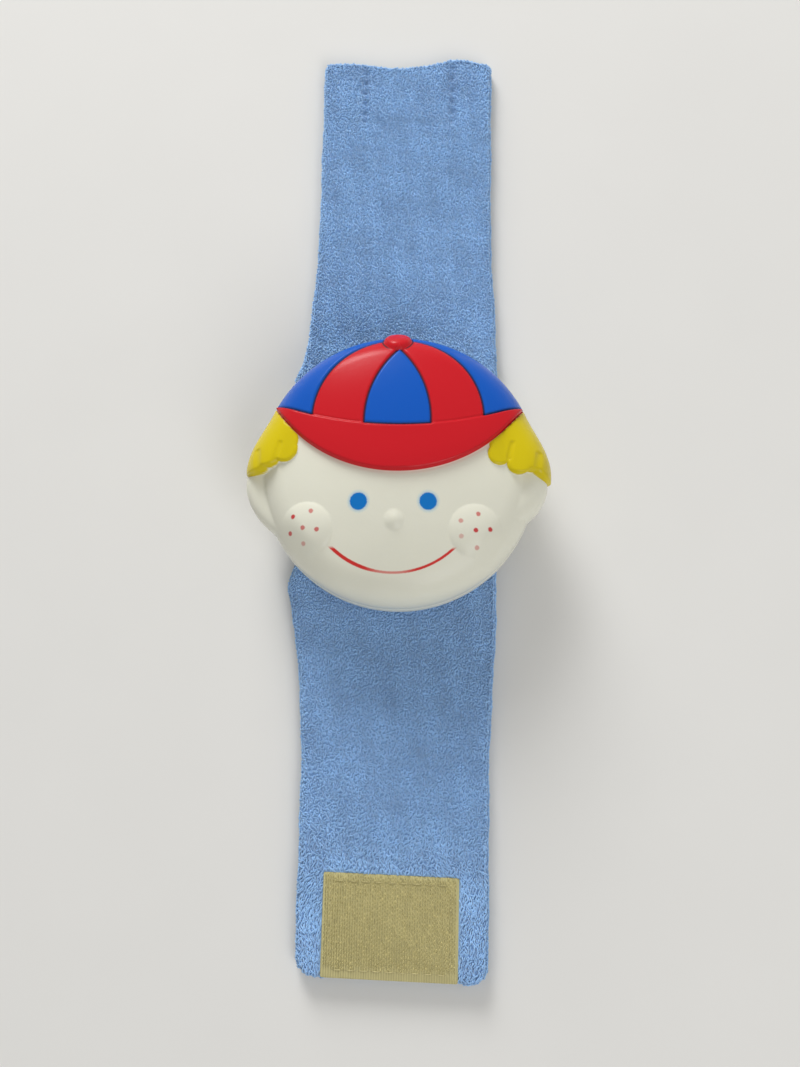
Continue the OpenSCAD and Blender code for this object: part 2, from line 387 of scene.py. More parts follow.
def ramp(value, low, high):
    """Rises smoothly from 0 at low to 1 at high, or falls where low is the larger."""
    if isinstance(value, Shade):
        inputs = {"Value": value, "From Min": low, "From Max": high}
        return value.add("ShaderNodeMapRange", {"interpolation_type": "SMOOTHSTEP"}, inputs)
    t = np.clip((value - low) / (high - low), 0, 1)
    return t * t * (3 - 2 * t)


def away(place, centre):
    """Distance of a place from a centre, in plan or in space."""
    return root(sum((here - there) * (here - there) for here, there in zip(place, centre)))


def outside(x, y, circles):
    """Distance outside the shape that is inside all these circles, negative within it."""
    return most(*(away((x, y), circle) - circle[2] for circle in circles))


def nearest(x, y, circles):
    """Distance outside the shape that these circles make together, negative within it."""
    return least(*(away((x, y), circle) - circle[2] for circle in circles))


def from_line(x, y, start, end):
    """Distance from a straight line between two points in plan."""
    run = np.subtract(end, start)
    share = np.clip(((x - start[0]) * run[0] + (y - start[1]) * run[1]) / (run @ run), 0, 1)
    return away((x, y), (start[0] + share * run[0], start[1] + share * run[1]))


def cap_lines(x, y):
    """Distances from the outlines of the cap: the brim's two edges, the outer seams and the centre panel."""
    shapes = ([brim_low], [brim_up], seam_circles, arch_circles)
    return [outside(x, y, circles) for circles in shapes]


def face_base(along):
    """Radius, height and lean of the bare dome, shoulder and wall at a distance from the face's middle."""
    parts = [along < dome_end, along < shoulder_end, along < wall_end]
    level = np.ones_like(along)
    leans = [along / dome_r, dome_turn + (along - dome_end) / shoulder_r, level * math.pi / 2]
    lean = np.select(parts, leans, math.pi / 2 + (along - wall_end) / lip_r)
    out, up = np.sin(lean), np.cos(lean)
    radii = [dome_r * out, shoulder_x + shoulder_r * out, level * rattle_r]
    r = np.select(parts, radii, rattle_r - lip_r + lip_r * out)
    heights = [dome_z + dome_r * up, shoulder_z + shoulder_r * up, shoulder_z - along + shoulder_end]
    z = np.select(parts, heights, seam_z + lip_r + lip_r * up)
    return r, z, lean


def cap_relief(x, y):
    """Height of the crown and its grooves, the step down to the brim and the brim's upturned edge."""
    low, up, seam, arch = cap_lines(x, y)
    lines = ramp(least(abs(seam), abs(arch)), *groove_sides)
    crown = np.where(up < 0, crown_rise - groove_depth * lines, crown_rise)
    brim = brim_rise[0] + (brim_rise[1] - brim_rise[0]) * ramp(low, -9, -1)
    ledge = np.where((seam > 0) | (arch < 0), 1.0, 0.35)
    cap = crown + (brim - crown_rise) * ramp(up, -0.1, 0.35)
    cap -= groove_depth * 0.8 * ledge * ramp(abs(up), *groove_sides)
    cap *= np.where(up < 0, 1, ramp(low, 0.15, -0.6))
    return np.where((low < 0.15) | (up < 0), cap, 0), (low > 0) & (up > 0)


def hair_relief(x, y, middle):
    """Height of the hair, which swells out at the sides of the face and is parted between its locks."""
    out = hair_rise + (hair_reach - hair_rise) * ramp(middle, *hair_swell) * ramp(y, *hair_fall)
    within = np.clip(-nearest(x, y, left_hair + right_hair) / hair_edge, 0, 1)
    parting = least(*(from_line(x, y, *line) for line in hair_partings))
    return (out - parting_depth * ramp(parting, *parting_sides)) * np.sqrt(1 - (1 - within) ** 2)


def ear_relief(x, y, middle):
    """Height of the ears, each with a shallow valley where it leaves the face."""
    sizes = (ear_down, ear_reach, ear_foot)
    below, out, foot = (np.where(x < 0, size["left"], size["right"]) for size in sizes)
    along = np.minimum(abs(y - ear_y) / np.where(y > ear_y, ear_up, below), 1)
    valley = (middle - foot) / (rattle_r - foot)
    ear = out * ramp(valley, 0, 1) - ear_valley * np.exp(-(((valley - ear_dip[0]) / ear_dip[1]) ** 2))
    return np.where(middle > ear_start, ear, 0) * (1 - along**2) ** 1.2


def face_relief(points):
    """Height of the relief over the bare face."""
    x, y, z = points.T
    middle = away((x, y), (0, 0))
    height, bare = cap_relief(x, y)
    height = np.where(bare, np.maximum(height, hair_relief(x, y, middle)), height)
    ear = ear_relief(x, y, middle)
    height = np.where(height > 0, np.maximum(height, ear), height + ear)
    groove = ramp(abs(outside(x, y, [mouth])), mouth_half * 1.5, mouth_half * 0.3)
    height -= mouth_depth * groove * ramp(y, mouth_top + 0.1, mouth_top - 0.9)
    for place, mound in mounds:
        share = np.minimum(away((x, y), place) / mound["r"], 1)
        height += mound["rise"] * (1 - share**2) ** mound["soft"] * ramp(middle, *mound_fade)
    share = away((x, y, z), knob_foot) / knob_r
    height = np.maximum(height, knob_rise * np.sqrt(np.maximum(1 - share**4, 0)))
    return height * ramp(z, seam_z + lip_r, seam_z + lip_r + 0.9)


def crossed(columns, rows):
    """The columns and rows of a grid, at each of its points."""
    return (grid.ravel() for grid in np.meshgrid(columns, rows))


def face_grid(cells):
    """A square grid drawn out to a round face: distance from the middle, angle, flat map, faces and edge."""
    step = np.linspace(-1, 1, cells + 1)
    across, up = crossed(step, step)
    flat = abs(across) > abs(up)
    radius = np.maximum(abs(across), abs(up))
    steep = np.where(flat | (up == 0), 1, up)
    slope = np.where(flat, up / np.where(flat, across, 1), across / steep) * math.pi / 4
    turn = np.where(flat, slope + math.pi * (across < 0), math.pi / 2 - slope + math.pi * (up < 0))
    number = np.arange((cells + 1) ** 2).reshape(cells + 1, cells + 1)
    faces = np.stack([number[:-1, :-1], number[:-1, 1:], number[1:, 1:], number[1:, :-1]], 2).reshape(-1, 4)
    edge = np.concatenate([number[0, :-1], number[:-1, -1], number[-1, :0:-1], number[:0:-1, 0]])
    return radius, turn, np.stack([across, up], 1), faces, edge


def mapped(corners):
    """Flat map of a ring of faces, from the places of their corners."""
    return np.stack([np.stack(np.broadcast_arrays(*corner), 1) for corner in corners], 1).reshape(-1, 2)


def face_mesh():
    """The face's outside with its relief, and its inside wall: points, faces, bare points and a flat map."""
    radius, turn, flat, faces, edge = face_grid(face_cells)
    r, z, lean = face_base(radius * (wall_end + lip_r * math.pi / 2))
    ray = np.stack([np.cos(turn), np.sin(turn)], 1)
    bare = np.column_stack([ray * r[:, None], z])
    normals = np.column_stack([ray * np.sin(lean)[:, None], np.cos(lean)])
    points = [bare + normals * face_relief(bare)[:, None]]
    inner_r = rattle_r - wall
    inner = [(inner_r, seam_z), (inner_r, shoulder_z)]
    inner += arc(shoulder_x, shoulder_z, shoulder_r - wall, 20, 60, 2)
    for share in (0.75, 0.4):
        inner.append((inner_r * share, dome_z + math.sqrt((dome_r - wall) ** 2 - (inner_r * share) ** 2)))
    rings = [edge]
    for ring_r, ring_z in inner:
        rings.append(np.arange(len(edge)) + sum(map(len, points)))
        points.append(np.column_stack([ray[edge] * ring_r, np.full(len(edge), ring_z)]))
    middle = sum(map(len, points))
    points.append(np.array([[0, 0, dome_z + dome_r - wall]]))
    flat_map = [((map_half * flat + map_half)[faces]).reshape(-1, 2)]
    faces = faces.tolist()
    share = np.arange(len(edge)) / len(edge)
    step = 1 / len(edge)
    for number, (lower, upper) in enumerate(zip(rings, rings[1:])):
        faces += np.stack([np.roll(lower, -1), lower, upper, np.roll(upper, -1)], 1).tolist()
        low = strip_low + strip_pitch * number
        high = low + strip_pitch - strip_gap
        flat_map.append(mapped([(share + step, low), (share, low), (share, high), (share + step, high)]))
    faces += [(b, a, middle) for a, b in zip(rings[-1], np.roll(rings[-1], -1))]
    flat_map.append(mapped([(share + step, low), (share, low), (share + step / 2, low + strip_pitch)]))
    place = np.concatenate([bare, *points[1:]])
    return np.concatenate(points), faces, place, np.concatenate(flat_map)


def kept(start, label, output="Vector"):
    """A value that piece_of has kept on the points."""
    return start.add("ShaderNodeAttribute", {"attribute_name": label}, {}, output)


def painted_face():
    """Ivory plastic with the paint of the face and cap, edged by the outlines that shape the relief. The
    cap's grooves are darkened partly with painted shade, and the red under the brim is partly a painted
    shadow.
    """
    material, start = new_material("painted_face")
    place = kept(start, "place")
    x, y, z = (start.add("ShaderNodeSeparateXYZ", {}, {0: place}, axis) for axis in "XYZ")
    crisp = 0.07
    low, up, seam, arch = cap_lines(x, y)
    above = ramp(up, crisp, -crisp)
    under = ramp(low, crisp, -crisp)
    body = ramp(z, seam_z + 0.6, seam_z + 0.9)
    cloud = noise(start, place, 0.12)
    speck = noise(start, place, 3.0)
    tint = mixed(cloud, tinted(ivory, 0.965), tinted(ivory))
    # A faint red tint below the brim's lower edge: partly overspray, partly a painted shadow of the raised
    # brim.
    brim_spray_and_shadow = 0.25 * ramp(low, 0.9, 0) * (1 - above)
    tint = mixed(brim_spray_and_shadow, tint, cap_red)
    bold = ramp(x, *mouth_bold)
    faint = ramp(abs(x - mouth_faint[0]), *mouth_faint[1:])
    stroke = abs(outside(x, y, [mouth])) + 0.1 * speck - 0.05 - 0.09 * bold + 0.02 * faint
    line = ramp(stroke, mouth_half + crisp, mouth_half - crisp * 2) * (1 - 0.3 * faint)
    tint = mixed(line * ramp(y, mouth_top + 0.1, mouth_top - 0.6), tint, mouth_red)
    for freckle in left_freckles + right_freckles:
        spot = ramp(away((x, y), freckle) + 0.2 * speck - 0.1, freckle_r + 0.14, freckle_r - 0.12)
        tint = mixed(freckle[2] * spot, tint, freckle_red)
    eye = nearest(x, y, eyes) + 0.24 * speck - 0.12
    tint = mixed(0.6 * ramp(eye, 0.75, 0.0), tint, eye_halo)
    tint = mixed(ramp(eye, 0.12, -0.14), tint, eye_blue)
    hair = ramp(nearest(x, y, left_hair + right_hair), crisp, -crisp) * (1 - under) * (1 - above) * body
    tint = mixed(hair, tint, hair_yellow)
    cap = most(above, under) * body
    tint = mixed(cap, tint, cap_red)
    panels = most(ramp(seam, -crisp, crisp), ramp(arch, crisp, -crisp))
    tint = mixed(panels * above * body, tint, cap_blue)
    # Dark paint in the grooves between the panels and at the knob's sides: partly overlapping overspray,
    # partly painted shade in the recesses.
    grooves = above * ramp(least(abs(seam), abs(arch)), *groove_paint)
    grooves = most(grooves, panels * under * ramp(abs(up), *groove_paint))
    knob = away((x, y, z), knob_foot) - knob_r
    grooves = most(grooves, ramp(abs(knob - 0.1), 0.28, 0.1) * ramp(abs(x - knob_foot[0]), 0.9, 2.2))
    tint = mixed(0.85 * grooves * body, tint, groove_overspray_and_shade)
    tint = mixed(ramp(knob, 0.02, -0.08) * body, tint, cap_red)
    peel = noise(start, place, 1.3)
    surface = {
        "Base Color": tint,
        "Roughness": 0.23 + 0.25 * grooves * cap + 0.06 * cloud,
        "Normal": bumped(start, peel, peel_depth),
        "Specular IOR Level": 0.22,
        "Subsurface Weight": 0.06,
        "Subsurface Radius": (2.0, 1.8, 1.4),
        "Subsurface Scale": MM,
    }
    return finished(material, start, surface)


face_points, face_faces, face_place, face_map = face_mesh()
face_shell = piece_of("rattle_face", face_points, face_faces, painted_face(), 60, face_map, place=face_place)
fixed(face_shell, "rattle", "ivory_plastic", "face_shell")

# Strap bridge: a flat ivory bar under the rattle on two short legs, which keeps the strap against the back.
# Four studs on the legs are pressed into the bosses of the back shell.
bridge_low, bridge_high = (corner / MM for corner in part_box("strap_bridge"))
bar_t = 1.8
leg_t = 2.6
leg_top = back_z
stud_r = 0.9
stud_root = 1.0
corner_r = 1.5
edge_r = 0.45


def bridge_mesh():
    """The bar and legs as one U, with round corners in plan and eased edges, and the studs."""
    outer = bridge_high.x
    inner = outer - leg_t
    u_shape = [(-outer, 0), (outer, 0), (outer, leg_top), (inner, leg_top)]
    u_shape += [(inner, bar_t), (-inner, bar_t), (-inner, leg_top), (-outer, leg_top)]
    solid = bmesh.new()
    front = [solid.verts.new((x, bridge_low.y, z)) for x, z in u_shape]
    sides = solid.faces.new(front)
    moved = bmesh.ops.extrude_face_region(solid, geom=[sides])["geom"]
    back = [part for part in moved if isinstance(part, bmesh.types.BMVert)]
    bmesh.ops.translate(solid, verts=back, vec=(0, bridge_high.y - bridge_low.y, 0))
    corners = [e for e in solid.edges if all(abs(v.co.x) == outer for v in e.verts)]
    upright = [e for e in corners if abs(e.verts[0].co.z - e.verts[1].co.z) > 1]
    bmesh.ops.bevel(solid, geom=upright, offset=corner_r, segments=6, profile=0.5, affect="EDGES")
    crisp = [e for e in solid.edges if len(e.link_faces) == 2 and e.calc_face_angle() > math.radians(40)]
    bmesh.ops.bevel(solid, geom=crisp, offset=edge_r, segments=3, profile=0.5, affect="EDGES")
    bmesh.ops.recalc_face_normals(solid, faces=solid.faces)
    solid.verts.index_update()
    points = np.array([v.co for v in solid.verts])
    faces = [tuple(v.index for v in face.verts) for face in solid.faces]
    solid.free()
    return together((points, faces), *at_studs(stud_r, leg_top - stud_root, bridge_high.z))


strap_bridge = piece_of("strap_loop", *bridge_mesh(), ivory_plastic, 50)
fixed(strap_bridge, "rattle", "ivory_plastic", "strap_bridge")

# Strap cloth: a tube of light blue terry, sewn, turned and pressed flat, that runs through the bridge.
# Its ground weave is made in ten lengths, one across each hinge line.
tails = ("upper", "lower")
bends = [joint for joint in frame["joints"] if "_bend" in joint["name"]]
bend_y = {tail: [abs(bend["pos_m"][1]) / MM for bend in bends if tail in bend["name"]] for tail in tails}
strap_end = cad_box[1].y / MM
mid_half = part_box("terry_front_mid")[1].x / MM
end_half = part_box("terry_front_upper_5")[1].x / MM
strap_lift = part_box("terry_back_mid")[0].z / MM
strap_t = 3.0
ground_t = 2.4
pile_h = (strap_t - ground_t) / 2
taper = (24.0, 58.0)
settle = (13.0, 33.0)
end_corner = {"upper": 1.6, "lower": 3.8}
end_bumps = ((1.3, 10.8, 4.2), (0.4, -13.0, 5.0), (-0.7, -2.2, 5.5))
ground_step = 0.7
edge_steps = 9
stitch_x = (-9.1, 9.6)
stitch_y = 80.7
stitch_pitch = 2.4
stitch_dent = 1.05
pinch = 0.36
pinch_end = (19.5, 16.5)
flare = 2.5
flare_start = (12.5, 21.5)
flare_hold = 22.0
flare_fade = {"upper": 5.5, "lower": 9.0}
terry_blue = (152, 192, 240)


def strap_z(y):
    """Height of the strap's middle: up against the rattle, then down on the table."""
    return strap_t / 2 + strap_lift * ramp(abs(y), settle[1], settle[0])


def half_width(y):
    """Half the strap's width, with a slight unevenness of the sewn edge and round corners at its ends."""
    width = mid_half + (end_half - mid_half) * ramp(abs(y), *taper)
    width = width + 0.08 * np.sin(y * 0.37) + 0.05 * np.sin(y * 1.13 + 1.0)
    corner = np.where(y > 0, end_corner["upper"], end_corner["lower"])
    into = np.clip(corner - (strap_end - abs(y)), 0, corner)
    return width - corner + np.sqrt(corner**2 - into**2)


def end_wave(x, y):
    """How far the sewn ends stray from square: the upper one dips in the middle, and the lower one slants."""
    upper = sum(rise * np.exp(-(((x - place) / width) ** 2)) for rise, place, width in end_bumps)
    lower = -0.03 * x - 0.2 * np.sin(0.9 * x + 0.6)
    return np.where(y > 0, upper, lower) * ramp(abs(y), strap_end - 12, strap_end)


def flared(x, y):
    """How far the left half of the strap spreads where it comes out from under the rattle."""
    fade = np.where(y > 0, flare_fade["upper"], flare_fade["lower"])
    spread = flare * ramp(abs(y), *flare_start) * np.exp(-np.maximum(abs(y) - flare_hold, 0) / fade)
    return -spread * ramp(-x, 0, mid_half)


def laid_out(x, y, z):
    """Points of the strap with its spread beside the rattle and its stray ends."""
    return np.stack([x + flared(x, y), y + end_wave(x, y), z], -1)


def stitch_press(x, y):
    """How far the stitches of the loop patch press the front of the strap down, from 0 to 1."""
    sides = np.exp(-((least(*(abs(x - line) for line in stitch_x)) / 0.8) ** 2))
    sides = sides * ramp(y, stitch_y - 0.8, stitch_y + 1.0) * ramp(y, strap_end - 0.6, strap_end - 3.4)
    sides = sides * (0.72 + 0.28 * np.sin(2 * math.pi * y / stitch_pitch + 0.3 * x))
    foot = 0.16 * np.exp(-(((y - stitch_y) / 0.8) ** 2)) * ramp(abs(x), 10.3, 9.6)
    return most(sides, foot)


def pinched(y):
    """How far the rattle keeps the front of the strap down, so that it can bend clear of the back."""
    return pinch * ramp(abs(y), *pinch_end)


def ground_length(start, end):
    """A closed length of ground weave between two distances along the strap, with round side edges."""
    rows = np.linspace(start, end, max(2, math.ceil(abs(end - start) / ground_step) + 1))[:, None]
    thick = ground_t / 2
    rim = strap_end - pile_h
    turn = np.radians(np.linspace(-90, 90, edge_steps))
    flat = np.linspace(1, -1, round(2 * end_half / ground_step) + 1)[1:-1]
    side = np.ones(edge_steps)
    share = np.concatenate([side, flat, -side, -flat])
    out = np.concatenate([np.cos(turn), 0 * flat, -np.cos(turn), 0 * flat])
    lift = np.concatenate([np.sin(turn), 0 * flat + 1, -np.sin(turn), 0 * flat - 1])
    y = np.clip(rows, -rim, rim)
    ending = np.clip(1 - (rim - abs(rows)) / thick, 0, 1)
    x = share * (half_width(y) - pile_h - thick) + out * thick
    z = strap_z(y) + lift * np.maximum(thick * np.sqrt(1 - ending**2), 0.05)
    z = z - (stitch_dent * stitch_press(x, y) + pinched(y)) * (lift > 0.9)
    points = laid_out(x, y, z)
    count = points.shape[1]
    number = np.arange(points.shape[0] * count).reshape(-1, count)
    after = np.roll(number, -1, 1)
    faces = np.stack([number[:-1], number[1:], after[1:], after[:-1]], 2).reshape(-1, 4).tolist()
    middle = edge_steps // 2
    for ring in (number[0], number[-1, ::-1]):
        turned_ring = np.roll(ring, -middle if ring[0] == 0 else middle + 1)
        over, under = turned_ring[: count // 2 + 1], np.roll(turned_ring[::-1], 1)[: count // 2 + 1]
        faces += [(over[n], over[n + 1], under[n + 1], under[n]) for n in range(1, count // 2 - 1)]
        faces += [(over[0], over[1], under[1]), (over[-1], under[-2], over[-2])]
    if end < start:
        faces = [face[::-1] for face in faces]
    return points.reshape(-1, 3), faces


def ground_weave():
    """The dense ground under the pile, coloured deeper than the pile as painted shade between the loops, and
    rough with the feet of the loops.
    """
    material, start = new_material("terry_ground")
    rest = kept(start, "rest")
    knots = noise(start, rest, 1.8, 4.0)
    patch = noise(start, rest, 0.4)
    # The ground's colour runs deeper than the pile's: painted shade in the gaps between the loops.
    surface = {
        "Base Color": mixed(0.6 * knots + 0.3 * patch, tinted(terry_blue, 0.86), tinted(terry_blue)),
        "Roughness": 0.9 + 0.08 * patch,
        "Normal": bumped(start, knots, 0.35),
        "Specular IOR Level": 0.1,
        "Sheen Weight": 0.2,
    }
    return finished(material, start, surface)


# Terry pile: looped yarn that covers both faces and the turned edges of the strap, lying over at random.
# Each loop is a small arched tube rooted in the ground weave, and loops are pressed down along the stitches,
# where painted shade darkens them.
front_pitch = (0.36, 0.46)
back_pitch = (0.5, 0.66)
edge_pitch = 0.36
loop_length = 0.74
loop_r = 0.16
loop_rise = 0.13
front_rise = 2.6
loop_spread = 0.8
pile_waves = ((0.31, 0.23, 0.0), (0.11, -0.19, 1.3), (0.62, 0.07, 4.0), (0.05, 0.47, 2.2))
comb_y = (60.0, 84.0)
comb_length = 0.75
pile_rings = 4
pile_low = 0.02
root_inset = 0.6
patch_clear = 0.2
edge_tilts = (-55, -20, 20, 55)
hook_turn = math.radians(-1.6)
hook_lean = math.radians(-0.4)
hook_shift = -0.35
hook_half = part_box("hook_patch")[1].x / MM
yarn_sides = 3
yarn_end = math.radians(45)
cell_edge = 0.05
pile_random = np.random.default_rng(11)


def yarn_arches(roots, along, upward, length, rise, r, ring_count=3):
    """Small arched tubes, one on each root, closed at both ends, with a flat map that has a cell for each."""
    side = np.cross(along, upward)
    count = len(roots)
    rings = []
    for step in np.linspace(-1, 1, ring_count):
        middle = roots + along * (0.5 * step * length)[:, None]
        middle = middle + upward * ((1 - 1.6 * step**2) * rise)[:, None]
        lean = yarn_end * step
        out = upward * math.cos(lean) + along * math.sin(lean)
        for corner in range(yarn_sides):
            turn = math.pi / 2 + 2 * math.pi * corner / yarn_sides
            spread = side * math.cos(turn) + out * math.sin(turn)
            rings.append(middle + spread * (r * (1 - 0.15 * step**2))[:, None])
    points = np.stack(rings, 1).reshape(-1, 3)
    base = (np.arange(count) * ring_count * yarn_sides)[:, None]
    cells = math.ceil(math.sqrt(count))
    cell = np.stack([np.arange(count) % cells, np.arange(count) // cells], 1)[:, None, :]
    faces, shapes = [], []
    for ring in range(ring_count - 1):
        for corner in range(yarn_sides):
            a = ring * yarn_sides + corner
            b = ring * yarn_sides + (corner + 1) % yarn_sides
            faces += (base + [a, b, b + yarn_sides, a + yarn_sides]).tolist()
            square = np.array([(0, 0), (0, 1), (1, 1), (1, 0)]) + (ring, corner)
            shapes.append(square / (ring_count - 1, yarn_sides))
    for ring in (0, ring_count - 1):
        corners = [ring * yarn_sides + corner for corner in range(yarn_sides)]
        faces += (base + (corners if ring else corners[::-1])).tolist()
        tip = np.array([(0.0, 0.0), (0.2, 0.5), (0.0, 1.0)]) * (1 if ring == 0 else -1) + (1 if ring else 0)
        shapes.append(tip)
    flat_map = [(cell + cell_edge + (1 - 2 * cell_edge) * shape) / cells for shape in shapes]
    return points, faces, np.concatenate([part.reshape(-1, 2) for part in flat_map])


def lying(turn):
    """Directions in plan, each turned from straight along the strap."""
    return np.stack([np.sin(turn), np.cos(turn), np.zeros(len(turn))], 1)


def ripple(x, y):
    """A slow unevenness from -1 to 1 over the strap, as the pile lies this way and that. In the pile's colour
    it paints lighter and darker patches as the pile's sheen.
    """
    waves = [np.sin(across * x + along * y + phase) for across, along, phase in pile_waves]
    return sum(waves) / len(waves)


def combed(y):
    """How far the pile of the lower end is combed out into wisps along the strap, from 0 to 1."""
    return ramp(-y, *comb_y)


def face_roots(front, pitch):
    """Roots, directions, rises and shades of the loops on one face of the strap; the shades hold painted
    shade where the stitches press the pile down.
    """
    columns = np.arange(-mid_half, mid_half, pitch[0])
    rows = np.arange(-strap_end + 0.3, strap_end - 0.2, pitch[1])
    x, y = crossed(columns, rows)
    y = y + pitch[1] / 2 * np.tile(np.arange(len(columns)) % 2, len(rows))
    y = y + pile_random.normal(0, 0.16, len(x))
    x = x + pile_random.normal(0, 0.11, len(x))
    keep = (abs(x) < half_width(y) - root_inset) & (abs(y) < strap_end - root_inset)
    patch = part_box("hook_patch" if front else "loop_patch")
    half = (patch[1] - patch[0]) / 2 / MM
    middle = (patch[0] + patch[1]) / 2 / MM
    shift, turn, lean = (hook_shift, hook_turn, hook_lean) if front else (0, 0, 0)
    across, down = x - middle.x - shift, y - middle.y
    across, down = across + lean * down, down - turn * across
    keep &= ~((abs(across) < half.x + patch_clear) & (abs(down) < half.y + patch_clear))
    x, y = x[keep], y[keep]
    count = len(x)
    sign = 1 if front else -1
    press = stitch_press(x, y) if front else np.zeros(count)
    sunk = stitch_dent * press + (pinched(y) if front else 0)
    turn = loop_spread * (1 - 0.6 * combed(y)) * pile_random.normal(0, 1, count) + 0.6 * ripple(x, y)
    roll = pile_random.normal(0, 0.25, count)
    upward = np.stack([np.sin(roll) * np.cos(turn), -np.sin(roll) * np.sin(turn), sign * np.cos(roll)], 1)
    roots = laid_out(x, y, strap_z(y) + sign * ground_t / 2 - sunk)
    rise = loop_rise * pile_random.uniform(0.6, 1.0, count) * (front_rise if front else 1)
    rise = rise * (1 - 0.4 * press - (1.2 * pinched(y) if front else 0))
    tuft = ripple(7 * x, 5 * y)
    rise = rise * (1 + 0.35 * tuft)
    # Random tone per loop, plus slow lighter and darker patches painted in as the sheen of pile lying
    # different ways.
    shade = 0.55 + 0.12 * pile_random.normal(0, 1, count) + 0.3 * ripple(2 * x, 1.4 * y)
    # Taller tufts are coloured paler, and painted shade darkens the loops where the stitches press them down
    # into dents.
    return roots, lying(turn), upward, rise, shade + 0.25 * tuft - 0.6 * press


def strap_outline(pitch):
    """Points round the strap's outline in plan at about a pitch apart, and the directions out of it."""
    y = np.linspace(-strap_end, strap_end, 4001)
    right = np.stack([half_width(y), y], 1)
    outline = np.concatenate([right, right[::-1] * (-1, 1), right[:1]])
    run = np.concatenate([[0], np.cumsum(np.hypot(*np.diff(outline, axis=0).T))])
    steps = np.arange(0, run[-1], pitch)
    steps = steps + pile_random.normal(0, pitch / 4, len(steps))
    here, after = (np.stack([np.interp(steps + s, run, side) for side in outline.T], 1) for s in (-0.3, 0.3))
    way = (after - here) / np.hypot(*(after - here).T)[:, None]
    return (here + after) / 2, np.stack([way[:, 1], -way[:, 0]], 1)


def edge_roots():
    """Roots, directions, rises and shades of the loops round the sides and ends of the strap."""
    sets = []
    for tilt in edge_tilts:
        lift = math.sin(math.radians(tilt))
        out = math.cos(math.radians(tilt))
        place, outward = strap_outline(edge_pitch)
        place = place - outward * (pile_h + ground_t / 2 * (1 - out))
        taped = (place[:, 1] < 1.5 - strap_end) & (abs(place[:, 0] - hook_shift) < hook_half + 0.3)
        place, outward = (part[~(taped & (tilt > 0))] for part in (place, outward))
        x, y = place.T
        roots = laid_out(x, y, strap_z(y) + lift * ground_t / 2 - (pinched(y) if tilt > 0 else 0))
        upward = np.column_stack([outward * out, np.full(len(x), lift)])
        along = np.column_stack([-outward[:, 1], outward[:, 0], np.zeros(len(x))])
        turn = (0.6 * pile_random.normal(0, 1, len(x)))[:, None]
        along = along * np.cos(turn) + np.cross(along, upward) * np.sin(turn)
        frayed = ramp(abs(y), strap_end - 4, strap_end - 1) * ramp(abs(x), 6, 15) * np.where(y > 0, 3, 5)
        rise = loop_rise * (1 + (1.5 + frayed) * pile_random.beta(1.2, 3.5, len(x)))
        shade = 0.5 + 0.2 * pile_random.normal(0, 1, len(x))
        sets.append((roots, along, upward, rise, shade))
    return tuple(np.concatenate(part) for part in zip(*sets))


def terry_pile():
    """Looped cotton yarn: light blue, paler on some loops, with painted shade at the roots and in the stitch
    dents, painted patches of the pile's sheen, and a soft sheen in the surface itself.
    """
    material, start = new_material("terry_pile")
    shade = kept(start, "shade", "Fac")
    fibre = noise(start, kept(start, "rest"), 6.0)
    surface = {
        "Base Color": mixed(shade + 0.3 * fibre - 0.15, tinted(terry_blue, 0.9), tinted(terry_blue, 1.1)),
        "Roughness": 0.88 + 0.1 * fibre,
        "Specular IOR Level": 0.15,
        "Sheen Weight": 0.35,
        "Sheen Roughness": 0.5,
    }
    return finished(material, start, surface)


ground_material = ground_weave()
pile_material = terry_pile()
pile_sets = [face_roots(True, front_pitch), face_roots(False, back_pitch), edge_roots()]
loop_roots, loop_along, loop_up, loop_rises, loop_shade = (np.concatenate(part) for part in zip(*pile_sets))
loop_long = loop_length * pile_random.uniform(0.82, 1.18, len(loop_roots))
loop_long *= 1 + comb_length * combed(loop_roots[:, 1])
loop_thick = loop_r * pile_random.uniform(0.85, 1.12, len(loop_roots))
# Painted shade and highlight: each loop is coloured deeper at its roots, where it is shaded, and paler at its
# top.
painted_root_shade = np.repeat(0.1 - 0.16 * np.linspace(-1, 1, pile_rings) ** 2, yarn_sides)
for tail in tails:
    sign = 1 if tail == "upper" else -1
    hinges = bend_y[tail]
    reach = (hinges[1] - hinges[0]) / 2
    edges = [0.0, *(hinge + reach for hinge in hinges[:-1]), strap_end]
    for number, hinge in enumerate(hinges, 1):
        near, far = edges[number - 1], edges[number]
        above_body = "strap_mid" if number == 1 else f"strap_{tail}_{number - 1}"
        hinge_start = (0, sign * (hinge - reach) * MM, 0)
        hinge_end = (0, sign * (hinge + reach) * MM, 0)
        points, faces = ground_length(sign * near, sign * far)
        ground = piece_of(f"strap_ground_{tail}_{number}", points, faces, ground_material, 60, rest=points)
        last = 2 * strap_end if number == len(hinges) else far
        mine = (loop_roots[:, 1] * sign >= near) & (loop_roots[:, 1] * sign < last)
        loops = (loop_roots, loop_along, loop_up, loop_long, loop_rises, loop_thick)
        points, faces, flat_map = yarn_arches(*(part[mine] for part in loops), pile_rings)
        points[:, 2] = np.maximum(points[:, 2], pile_low)
        shades = (loop_shade[mine][:, None] + painted_root_shade).ravel()
        name = f"strap_pile_{tail}_{number}"
        pile = piece_of(name, points, faces, pile_material, None, flat_map, rest=points, shade=shades)
        for cloth in (ground, pile):
            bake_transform(cloth)
        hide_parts(f"terry_front_{tail}_{number}", f"terry_back_{tail}_{number}")
        if number == 1:
            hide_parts("terry_front_mid", "terry_back_mid")
        width = 2 * half_width(sign * (near + far) / 2) * MM
        rests_on = ["strap_loop"] if number == 1 else []
        (far - near) * MM

